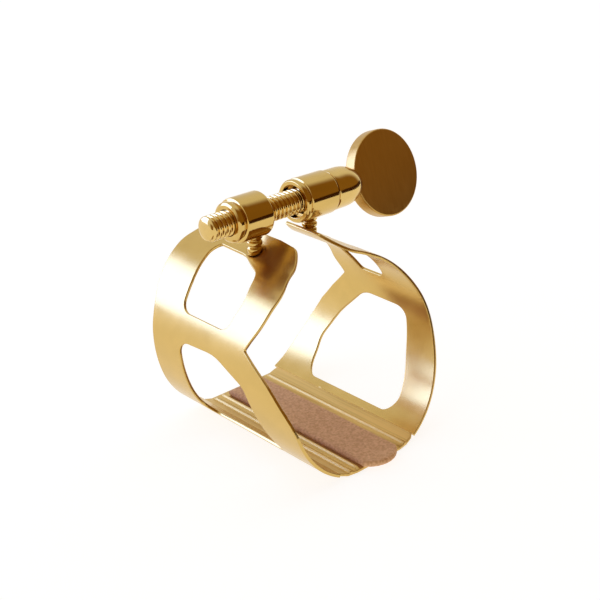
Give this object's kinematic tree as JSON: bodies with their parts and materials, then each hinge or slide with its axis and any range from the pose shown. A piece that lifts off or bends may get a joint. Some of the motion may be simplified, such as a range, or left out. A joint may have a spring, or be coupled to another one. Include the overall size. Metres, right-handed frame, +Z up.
{
  "type": "saxophone ligature",
  "caption": "Open sheet-metal band closed over a mouthpiece and reed by one thumb screw between two barrels, with a padded saddle underneath.",
  "frame": {"origin": "on the mouthpiece axis, in the middle of the ring, straight below the screw", "axes": "+X along the screw towards its thumb disc, +Y along the mouthpiece towards the short end of the band, +Z up from the reed pad to the screw"},
  "size_m": [0.0355, 0.0286, 0.0326],
  "materials": {
    "band_brass": "polished, gold lacquered",
    "saddle_brass": "brushed lengthways, gold lacquered",
    "barrel_brass": "turned and polished, gold lacquered",
    "screw_brass": "polished, gold lacquered",
    "disc_brass": "fine brushed, gold lacquered",
    "pad_leather": "suede"
  },
  "bodies": {
    "saddle": {"saddle_plate": "saddle_brass", "reed_pad": "pad_leather"},
    "near_side": {"near_wall": "band_brass"},
    "near_barrel": {"threaded_barrel": "barrel_brass", "near_foot": "barrel_brass"},
    "far_side": {"far_wall": "band_brass"},
    "far_barrel": {"plain_barrel": "barrel_brass", "far_foot": "barrel_brass"},
    "screw": {"screw_rod": "screw_brass", "screw_collar": "screw_brass", "thumb_disc": "disc_brass"}
  },
  "joints": [
    {"name": "near_flex", "type": "hinge", "parent": "saddle", "child": "near_side", "pos_m": [-0.00647, 0, -0.01254], "axis": [0, 1, 0], "range_deg": [-1.2, 2.5]},
    {"name": "far_flex", "type": "hinge", "parent": "saddle", "child": "far_side", "pos_m": [0.00647, 0, -0.01254], "axis": [0, -1, 0], "range_deg": [-1.2, 2.5]},
    {"name": "near_barrel_level", "type": "hinge", "parent": "near_side", "child": "near_barrel", "pos_m": [-0.0044, 0, 0.0095], "axis": [0, -1, 0], "range_deg": [-1.2, 2.5]},
    {"name": "far_barrel_level", "type": "hinge", "parent": "far_side", "child": "far_barrel", "pos_m": [0.0044, 0, 0.0095], "axis": [0, 1, 0], "range_deg": [-1.2, 2.5]},
    {"name": "screw_turn", "type": "hinge", "parent": "far_barrel", "child": "screw", "pos_m": [0.0044, 0, 0.014], "axis": [-1, 0, 0], "range_deg": [-495, 1065]}
  ],
  "couplings": [
    {"joint": "near_flex", "follows": "screw_turn", "ratio": 0.0022927},
    {"joint": "far_flex", "follows": "screw_turn", "ratio": 0.0022927},
    {"joint": "near_barrel_level", "follows": "screw_turn", "ratio": 0.0022927},
    {"joint": "far_barrel_level", "follows": "screw_turn", "ratio": 0.0022927}
  ]
}
